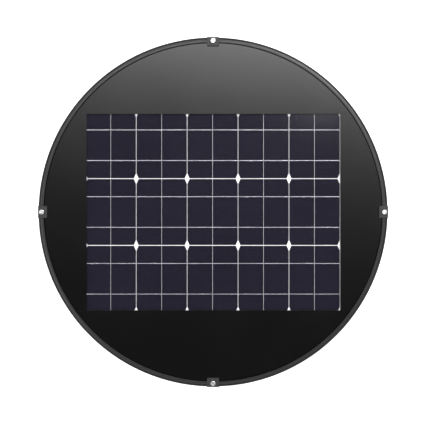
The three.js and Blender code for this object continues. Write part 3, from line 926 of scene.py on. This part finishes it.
def motor_bracket():
    """A round plate with four arms that bend down against the throat, each with a rib."""
    top = PLATE_Z + BRACKET_THICK
    half = BRACKET_THICK / 2
    tab_low = low("motor_bracket").z
    bracket = plate("motor_bracket", circle(52, ROUND), PLATE_Z, top)
    bend = [(24, top - half), (ARM_R - half, top - half, 3), (ARM_R - half, tab_low)]
    side = sheet_outline(rounded(bend, 6, closed=False), BRACKET_THICK)
    rib_low = PLATE_Z - 2.9
    rib = rounded([(58, PLATE_Z + 1), (60, rib_low, 2), (166, rib_low, 2), (168, PLATE_Z + 1)], 3)
    for angle in spaced(4, EIGHTH):
        join(bracket, turn(strip("arm", side, 24), angle), turn(strip("rib", rib, 6, 0.8), angle))
    holes = [circle(5.4, SMALL, polar(MOUNT_R, a)) for a in spaced(3)]
    cut(bracket, drill(15.5, PLATE_Z - 4, top + 4, segments=ROUND), *bolt_holes())
    cut(bracket, *[prism(hole, PLATE_Z - 4, top + 4) for hole in holes])
    show(bracket, ZINC, "motor_bracket", sharp=30)
    nut = plate("nut", hexagon(10, 0.3), ARM_R - 7.5, ARM_R - 2.4, [circle(3.05)], 0.4)
    move(turn(nut, QUARTER, "Y"), z=BOLT_Z)
    show(copies("weld_nuts", nut, spaced(4, EIGHTH)), ZINC)


def grommet(index, angle):
    top = PLATE_Z + BRACKET_THICK + GAP
    bottom = PLATE_Z - GAP
    spool = lathe(f"motor_grommet_{index}", rounded([
        (2.9, bottom - 2.7, 0.4),
        (8.5, bottom - 2.7, 1.3),
        (8.5, bottom, 0.6),
        (5, bottom, 0.4),
        (5, top, 0.4),
        (8.5, top, 0.6),
        (8.5, top + 2.7, 1.3),
        (2.9, top + 2.7, 0.4),
    ], 5), 48)
    move(spool, MOUNT_R)
    show(turn(spool, angle), RUBBER, f"motor_grommet_{index}")


def motor_screw(index, angle):
    """A round head screw, driven from below through its grommet."""
    bottom, top = z_span(f"motor_screw_{index}")
    seat = bottom + 3.4
    head = lathe(f"motor_screw_{index}", rounded([
        (0, bottom),
        (3.2, bottom, 1.2),
        (4.6, bottom + 1.4, 0.8),
        (4.6, seat, 0.25),
        (0, seat),
    ], 5), 40)
    cut(head, prism(hexagon(4), bottom - 1, bottom + 2.1))
    join(head, thread("shank", M5_SHANK, seat - 0.4, top))
    move(head, MOUNT_R)
    show(turn(head, angle), STAINLESS, f"motor_screw_{index}", sharp=38)


def motor():
    """The can with its cooling grooves, the ribbed cover and the two shielded bearings."""
    bottom, top = CAN_LOW, high("motor_can").z
    radius = high("motor_can").x
    boss = low("motor_can").z
    pocket = 11.3
    inner = radius - 2.5
    wall = [(radius, bottom, 1.2)]
    for k in range(7):
        z = bottom + 7 + 4.4 * k
        wall += [(radius, z, 0.2), (radius - 1.1, z + 0.3, 0.2)]
        wall += [(radius - 1.1, z + 1.5, 0.2), (radius, z + 1.8, 0.2)]
    can = lathe("motor_can", rounded([
        (pocket, boss, 0.3),
        (14, boss, 0.6),
        (14, bottom, 0.8),
        *wall,
        (radius, top, 0.4),
        (inner, top, 0.2),
        (inner, bottom + 4),
        (6, bottom + 4),
        (6, bottom + 0.2),
        (pocket, bottom + 0.2),
    ], 4), ROUND)
    cut(can, *[screw_drill(bottom - 1, bottom + 5, polar(MOUNT_R, a)) for a in spaced(3)])
    show(can, CAST, "motor_can", sharp=40)

    cover_low, cover_top = z_span("motor_cover")
    cover = lathe("motor_cover", rounded([
        (0, cover_top - 1.7),
        (pocket, cover_top - 1.7),
        (pocket, cover_low),
        (radius, cover_low, 0.3),
        (radius, cover_low + 3, 1.3),
        (15, cover_low + 4.5, 2),
        (15, cover_top, 1.2),
        (0, cover_top),
    ], 6), ROUND)
    rib = [(13, cover_low + 2), (40, cover_low + 2), (40, cover_low + 3.6, 1), (13, cover_low + 7.5)]
    ribs = [turn(strip("rib", rounded(rib, 4), 2.2, 0.6), angle) for angle in spaced(8)]
    show(join(cover, *ribs), CAST, "motor_cover", sharp=40)

    for node in ("bearing_lower", "bearing_upper"):
        b, t = z_span(node)
        race = lathe(node, rounded([
            (4.3, b, 0.3), (6, b, 0.2), (6, b + 0.5), (9.4, b + 0.5), (9.4, b, 0.2), (11, b, 0.5),
            (11, t, 0.5), (9.4, t, 0.2), (9.4, t - 0.5), (6, t - 0.5), (6, t, 0.2), (4.3, t, 0.3),
        ], 4), 64)
        show(race, STAINLESS, node)

    for node, look in (("stator_core", LAMINATED), ("stator_winding", COPPER), ("rotor_magnet", MAGNET)):
        finish_node(node, look)


# ---- The fan, which turns as one body ----

PITCH = 30              # degrees that the spider's arms and the blades' roots are turned
SPIDER_THICK = 2.5


def shaft():
    bottom, top = z_span("motor_shaft")
    rod = lathe("motor_shaft", rounded([
        (0, bottom), (4, bottom, 0.6), (4, FAN_Z + 24), (3.5, FAN_Z + 24.3),
        (3.5, FAN_Z + 25.3), (4, FAN_Z + 25.6), (4, top, 0.6), (0, top),
    ], 4), 48)
    cut(rod, prism(rectangle(4, 12, 0, (5.6, 0)), bottom - 1, FAN_Z - 4))
    show(rod, STAINLESS, "motor_shaft", "rotor")


def hub():
    face = FAN_Z - SPIDER_THICK / 2 - GAP
    body = lathe("fan_hub", rounded([
        (4.3, face - 12, 0.4),
        (14, face - 12, 0.8),
        (14, face - 4, 1.5),
        (24, face - 4, 0.6),
        (24, face, 0.3),
        (10, face, 0.3),
        (10, face + 8, 0.8),
        (4.3, face + 8, 0.4),
    ], 5), ROUND)
    cut(body, x_rod(M5_HOLE, 3, 16, face - 8))
    show(body, CAST, "fan_hub", "rotor", 40)
    screw = thread("hub_set_screw", M5_SHANK, 4.5, 14.4)
    cut(screw, prism(hexagon(2.5), 11.5, 16))
    turn(screw, QUARTER, "Y")
    move(screw, z=face - 8)
    show(screw, ZINC, "hub_set_screw", "rotor", 38)


def on_arm(piece, angle):
    """Takes a piece from beside the first arm's flat face to one of the turned arms."""
    turn(piece, -math.radians(PITCH), "X")
    move(piece, z=FAN_Z)
    return turn(piece, angle)


def spider():
    half = SPIDER_THICK / 2
    star = move(plate("fan_spider", circle(30, ROUND), -half, half), z=FAN_Z)
    arm = rounded([(25, -10), (66, -10, 3), (66, 10, 3), (25, 10)], 5)
    for angle in spaced(5):
        join(star, on_arm(plate("arm", arm, -half, half), angle))
    cut(star, drill(10.3, FAN_Z - 12, FAN_Z + 12, segments=ROUND))
    show(star, ZINC, "fan_spider", "rotor", 30)
    rivets = []
    back = -half - 1.3
    front = half + 2.9
    for x, y in ((48, 4), (58, -4), (48, -4), (58, 4)):
        rivet = lathe("rivet", rounded([
            (0, back), (2, back, 0.9), (3.4, -half, 0.2), (1.9, -half + 0.1),
            (1.9, front - 1.2), (3.4, front - 1.2, 0.2), (2, front, 0.9), (0, front),
        ], 4), 24)
        rivets.append(move(rivet, x, y))
    group = on_arm(merge("rivets", rivets), 0)
    show(copies("fan_rivets", group, spaced(5)), MILL, None, "rotor")


def blade_point(t, s, side):
    """A point of the first blade: t along it, s across it from -1 to 1, on one of two sides."""
    thick = 1.5
    root, tip = 42, 177.8
    radius = root + (tip - root) * t
    corner = 1 - 0.16 * max(0.0, abs(s) - 0.6) * max(0.0, (t - 0.8) / 0.2) ** 2
    chord = 46 + 58 * math.sin(t * math.pi / 2)
    pitch = math.radians(PITCH - 9 * max(0.0, (t - 0.2) / 0.8))
    along = s * chord / 2
    seat = SPIDER_THICK / 2 + GAP + thick / 2
    lift = seat + 0.055 * chord * s * s * min(1, 0.3 + t) + side * thick / 2
    across = along * math.cos(pitch) + lift * math.sin(pitch)
    z = -along * math.sin(pitch) + lift * math.cos(pitch)
    angle = across / radius
    return (*polar(radius * corner, angle), FAN_Z + z)


def blade(index, angle):
    stations, chords = 28, 26
    slices = []
    for i in range(stations + 1):
        t = i / stations
        over = [blade_point(t, 2 * j / chords - 1, 1) for j in range(chords + 1)]
        under = [blade_point(t, 1 - 2 * j / chords, -1) for j in range(chords + 1)]
        slices.append(over + under)
    made = loft(f"fan_blade_{index}", slices)
    soften(made, 0.4, 50)
    show(turn(made, angle), MILL, f"fan_blade_{index}", "rotor", 40)


# ---- The electrics ----

def gland(name, radius, start, end):
    """A cable gland along X: a hexagon at the wall, then a domed nut with a lead hole."""
    nut = plate(name, hexagon(2 * radius * 0.9, 0.5), start, start + 5, (), 0.5)
    dome = lathe("gland_dome", rounded([
        (2.8, start + 3),
        (radius - 0.6, start + 3, 0.2),
        (radius - 0.6, end - 2.5, 2),
        (3.4, end, 0.5),
        (2.8, end, 0.2),
    ], 6), 40)
    cut(join(nut, dome), drill(2.8, start - 1, end + 1))
    return turn(nut, QUARTER, "Y")


def small_screws(name, places, z):
    """Countersunk heads with a cross recess, facing down at height z."""
    radius = 2.6
    heads = []
    for x, y in places:
        head = lathe("head", rounded([
            (0, z), (radius - 0.4, z, 0.4), (radius, z + 0.5, 0.2), (1.3, z + 2.2), (0, z + 2.2)
        ], 4), 28)
        for wide, long in ((0.8, 3.2), (3.2, 0.8)):
            cut(head, prism(rectangle(wide, long), z - 1, z + 0.9))
        heads.append(move(head, x, y))
    return merge(name, heads)


def junction_box():
    bottom, top = z_span("junction_box")
    long, wide, wall = 104, 68, 2.5
    middle = (0, JUNCTION_Y)
    shell = plate("junction_box", rectangle(long, wide, 5, middle), bottom, top, (), 0.5)
    inside = rectangle(long - 2 * wall, wide - 2 * wall, 3, middle)
    cut(shell, plate("inside", inside, bottom - 2, top - wall, (), 0.3))
    show(shell, BOX, "junction_box")
    outlet = gland("junction_gland", 5.5, long / 2 - 0.5, long / 2 + 14)
    move(outlet, 0, JUNCTION_Y, 169.5)
    show(outlet, BOX)
    lid_low, lid_top = z_span("junction_box_lid")
    lid = plate("junction_box_lid", rectangle(106, 70, 5, middle), lid_low, lid_top, (), 0.6)
    spots = [(x, JUNCTION_Y + y) for x in (-46, 46) for y in (-28, 28)]
    cut(lid, *[move(drill(2.9, lid_low - 1, lid_low + 2.4), *spot) for spot in spots])
    show(lid, BOX, "junction_box_lid")
    screws = small_screws("junction_screws", spots, lid_low + 0.1)
    show(screws, STAINLESS)


def control_box():
    """The controller on a bracket arm, with its lid on top and its probe at one side."""
    inner, long, wide, wall = 86, 60, 40, 2
    bottom, top = z_span("control_box")
    middle = (inner + long / 2, 0)
    shell = plate("control_box", rectangle(long, wide, 4, middle), bottom, top, (), 0.5)
    inside = rectangle(long - 2 * wall, wide - 2 * wall, 2.5, middle)
    cut(shell, plate("inside", inside, bottom + wall, top + 2, (), 0.3))
    show(turn(shell, EIGHTH), BOX, "control_box")
    outlet = gland("control_gland", 5.5, inner + long - 0.5, inner + long + 14)
    move(outlet, z=113)
    show(turn(outlet, EIGHTH), BOX)
    lid_low, lid_top = z_span("control_box_lid")
    lid = plate("control_box_lid", rectangle(long, wide, 4, middle), lid_low, lid_top, (), 0.6)
    spots = [(middle[0] + x, y) for x in (-25, 25) for y in (-15, 15)]
    cut(lid, *[move(drill(2.9, lid_top - 2.4, lid_top + 1), *spot) for spot in spots])
    show(turn(lid, EIGHTH), BOX, "control_box_lid")
    screws = turn(small_screws("control_screws", [(x, -y) for x, y in spots], 0), math.pi, "X")
    move(screws, z=lid_top - 0.1)
    show(turn(screws, EIGHTH), STAINLESS)
    start = wide / 2 + GAP
    bullet = lathe("temperature_probe", rounded([
        (0, start),
        (2.5, start, 0.3),
        (2.5, start + 15),
        (2.1, start + 15.4, 0.2),
        (2.1, start + 16.4, 0.2),
        (2.5, start + 16.8),
        (2.5, start + 22, 2.3),
        (0, start + 22),
    ], 6), 40)
    turn(bullet, -QUARTER, "X")
    move(bullet, middle[0], 0, 110)
    show(turn(bullet, EIGHTH), STAINLESS, "temperature_probe")


def leads():
    """The two leads that the housing holds, along the routes that they have in the CAD."""
    panel = [
        (66.3, 95, 169.5), (80, 95, 169.5), (98, 95.5, 168.7), (117, 97, 167),
        (134, 99.5, 164.5), (146, 103, 159), (152, 108, 150), (151, 114, 139),
        (146, 120, 129), (139, 124, 121), (131, 125, 115.5), (122, 121, 113.2),
        (113.35, 113.35, 113),
    ]
    show(tube("panel_lead", panel, 2.5), JACKET, "panel_lead")
    motor_route = [(85.7, 0, 113), (76, 0, 113.3), (66, 0, 116), (55, 0, 119.2), (43.3, 0, 120)]
    line = turn(tube("motor_lead", motor_route, 2.5), EIGHTH)
    show(line, JACKET, "motor_lead")
    sleeve = lathe("motor_lead_sleeve", rounded([
        (2.6, 42.4), (4.6, 42.4), (4.6, 45, 0.8), (3.6, 49, 0.6), (2.6, 49, 0.2)
    ], 4), 32)
    move(turn(sleeve, QUARTER, "Y"), z=120)
    show(turn(sleeve, EIGHTH), RUBBER)


# ---- The stage, the lights and the camera ----

CAMERA_HIGH = 3.0       # metres above the rim
FRAME_WIDE = 0.7998     # metres of the rim's plane that the picture spans
AIM = (-0.00015, -0.00188)      # metres off the lid's middle
CARD_LEAN = 0.14        # how much the card brightens to the right, as a share of to the back
CARD_CURVE = (-1.04, 1.28, 3.1, -1.2)   # gives the card's strength, its cubic term first


def camera():
    data = bpy.data.cameras.new("camera")
    data.sensor_width = 36
    data.lens = data.sensor_width * CAMERA_HIGH / FRAME_WIDE
    scene.camera = add_object("camera", data)
    scene.camera.location = (*AIM, RIM_TOP * MM + CAMERA_HIGH)


def stage_plane(name, size, z, material):
    bpy.ops.mesh.primitive_plane_add(size=size, location=(0, 0, z))
    made = bpy.context.object
    made.name = name
    made.data.materials.append(material)
    return made


def glowing(name, color, roughness, strength, **sockets):
    made = Finish(name, color, roughness, **sockets)
    made.set("Emission Color", (1, 1, 1, 1))
    made.set("Emission Strength", strength)
    return made


def floor():
    """A pale floor that is clear from below, so that the underside can be looked at."""
    look = glowing("floor", (0.86, 0.86, 0.86), 0.8, 0.55, Specular_IOR_Level=0.1)
    look.tint(look.noise(3, 3), (0.85, 0.85, 0.85), (0.87, 0.87, 0.87))
    side = look.node("ShaderNodeNewGeometry").outputs["Backfacing"]
    clear = look.node("ShaderNodeBsdfTransparent").outputs[0]
    choose = look.node("ShaderNodeMixShader")
    for socket, source in zip(choose.inputs, (side, look.shader.outputs[0], clear)):
        look.link(source, socket)
    look.link(choose.outputs[0], look.tree.nodes["Material Output"].inputs[0])
    made = stage_plane("floor", 60, 0, look.material)
    made.visible_glossy = False


def gradient_card():
    """A soft screen over the camera for the lid to reflect. Its strength is e to the power of a
    curve that climbs towards the back, and a little towards the right."""
    material = bpy.data.materials.new("gradient_card")
    material.use_nodes = True
    tree = material.node_tree
    tree.nodes.clear()
    output = tree.nodes.new("ShaderNodeOutputMaterial")
    glow = tree.nodes.new("ShaderNodeEmission")
    across = axes(tree, "Object")
    back = math_node(tree, "MULTIPLY_ADD", across["X"], CARD_LEAN, across["Y"])
    curve = CARD_CURVE[0]
    for term in CARD_CURVE[1:]:
        curve = math_node(tree, "MULTIPLY_ADD", back, curve, term)
    tree.links.new(math_node(tree, "EXPONENT", curve), glow.inputs["Strength"])
    tree.links.new(glow.outputs[0], output.inputs[0])
    made = stage_plane("gradient_card", 2.8, CAMERA_HIGH + 1.2, material)
    made.data.transform(Matrix.Rotation(math.pi, 4, "X"))
    made.visible_camera = False
    made.visible_diffuse = False


def under_card():
    """A screen below the floor that only reflections see, so that the underside shows."""
    look = glowing("under_card", (0, 0, 0), 1.0, 0.9)
    made = stage_plane("under_card", 0.8, -0.3, look.material)
    made.visible_camera = False
    made.visible_diffuse = False
    made.visible_shadow = False


def area_light(name, spot, aim, size, power):
    data = bpy.data.lights.new(name, "AREA")
    data.size = size
    data.energy = power
    made = add_object(name, data)
    made.location = spot
    made.rotation_mode = "QUATERNION"
    made.rotation_quaternion = (Vector(aim) - Vector(spot)).to_track_quat("-Z", "Y")
    return made


def lights():
    """Soft light from all round and from two sides, and a highlight on the laminate alone."""
    world = bpy.data.worlds.new("studio")
    world.use_nodes = True
    tree = world.node_tree
    sky = tree.nodes["Background"]
    height = axes(tree, "Generated")["Z"]
    climb = map_range(tree, height, (-0.2, 0.85), (0.08, 1.1), "SMOOTHSTEP")
    tree.links.new(climb, sky.inputs["Strength"])
    sky.inputs["Color"].default_value = (1, 1, 1, 1)
    scene.world = world
    area_light("key", (1.1, 1.7, 2.3), (0, 0, 0.15), 1.2, 60)
    area_light("fill", (-1.8, -0.6, 1.9), (0, 0, 0.15), 1.4, 22)
    glint = area_light("glint", (0.35, 0.4, 2.3), (0.2, 0.24, 0.19), 0.12, 5.0)
    lit = bpy.data.collections.new("lit_by_glint")
    lit.objects.link(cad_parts["front_sheet"])
    glint.light_linking.receiver_collection = lit
    scene.view_settings.view_transform = "Standard"


camera()
floor()
gradient_card()
under_card()
lights()
lid_face()
rim()
gasket()
for number, angle in enumerate(spaced(4), 1):
    clip(number, angle)
    button_screw(number, angle)
laminate()
hood_deck()
hood_skirt()
for number, angle in enumerate(spaced(4, EIGHTH), 1):
    strap(number, angle)
    flange_bolt(number, angle)
roof_flange()
throat_tube()
fan_shroud()
exhaust_screen()
motor_bracket()
for number, angle in enumerate(spaced(3), 1):
    grommet(number, angle)
    motor_screw(number, angle)
motor()
shaft()
hub()
spider()
for number, angle in enumerate(spaced(5), 1):
    blade(number, angle)
junction_box()
control_box()
leads()
